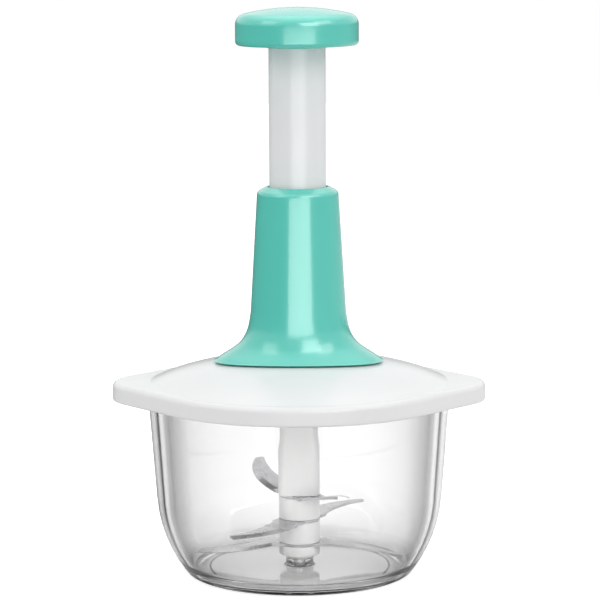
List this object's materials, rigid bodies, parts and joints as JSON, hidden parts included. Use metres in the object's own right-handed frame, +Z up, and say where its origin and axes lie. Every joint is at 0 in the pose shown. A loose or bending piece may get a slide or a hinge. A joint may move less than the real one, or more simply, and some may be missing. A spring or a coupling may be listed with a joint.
{
  "type": "plunger food chopper",
  "caption": "Hand-press food chopper: clear bowl, eared lid with a flared tower, knob on a sprung tube, and a twisted strip that spins stacked blades.",
  "frame": {"origin": "middle of the bowl's foot, on the surface it stands on", "axes": "+Z up along the plunger's axis, towards the knob; X along the two ears of the lid; -Y is the side that faces the user"},
  "size_m": [0.1666, 0.1386, 0.2525],
  "materials": {
    "clear_plastic": "clear, gloss",
    "white_lid_plastic": "satin",
    "teal_plastic": "satin gloss",
    "white_tube_plastic": "gloss",
    "white_hub_plastic": "satin",
    "acetal": "natural, satin",
    "silicone": "translucent, matte",
    "blade_steel": "ground, edges polished",
    "steel": "bright",
    "spring_steel": "drawn wire, bright"
  },
  "bodies": {
    "bowl": {"bowl": "clear_plastic", "bowl_pivot_pin": "steel"},
    "lid": {"lid": "white_lid_plastic", "lid_seal_ring": "silicone", "tower_housing": "teal_plastic", "tower_screws": "steel", "tube_guide_bush": "acetal", "spring_seat_washer": "steel", "drive_bearing_bush": "acetal", "return_spring": "spring_steel"},
    "plunger": {"plunger_tube": "white_tube_plastic", "drive_nut": "acetal", "nut_pins": "steel", "tube_top_plug": "acetal", "knob_base": "teal_plastic", "knob_screw": "steel", "knob_cap": "teal_plastic"},
    "drive": {"twisted_drive_strip": "steel", "drive_base": "acetal", "strip_cross_pin": "steel", "drive_thrust_washer": "steel", "drive_spindle": "steel", "drive_circlip": "spring_steel"},
    "blades": {"blade_hub": "white_hub_plastic", "hub_pivot_bush": "acetal", "hub_foot_ring": "white_hub_plastic", "blade_spacer_lower": "white_hub_plastic", "blade_spacer_upper": "white_hub_plastic", "lower_blade": "blade_steel", "middle_blade": "blade_steel", "upper_blade": "blade_steel"}
  },
  "joints": [
    {"name": "lid_lift", "type": "slide", "parent": "bowl", "child": "lid", "axis": [0, 0, 1], "range_m": [0, 0.1]},
    {"name": "plunger_press", "type": "slide", "parent": "lid", "child": "plunger", "axis": [0, 0, -1], "range_m": [0, 0.056], "stiffness_N_per_m": 320, "springref_m": -0.025, "deforming": ["return_spring"]},
    {"name": "drive_spin", "type": "hinge", "parent": "lid", "child": "drive", "pos_m": [0, 0, 0.0826], "axis": [0, 0, 1], "range_deg": [0, 459]},
    {"name": "blade_spin", "type": "hinge", "parent": "bowl", "child": "blades", "pos_m": [0, 0, 0.013], "axis": [0, 0, 1], "range_deg": [0, 459]}
  ],
  "couplings": [
    {"joint": "drive_spin", "follows": "plunger_press", "rad_per_m": 142.8},
    {"joint": "blade_spin", "follows": "plunger_press", "rad_per_m": 142.8}
  ]
}
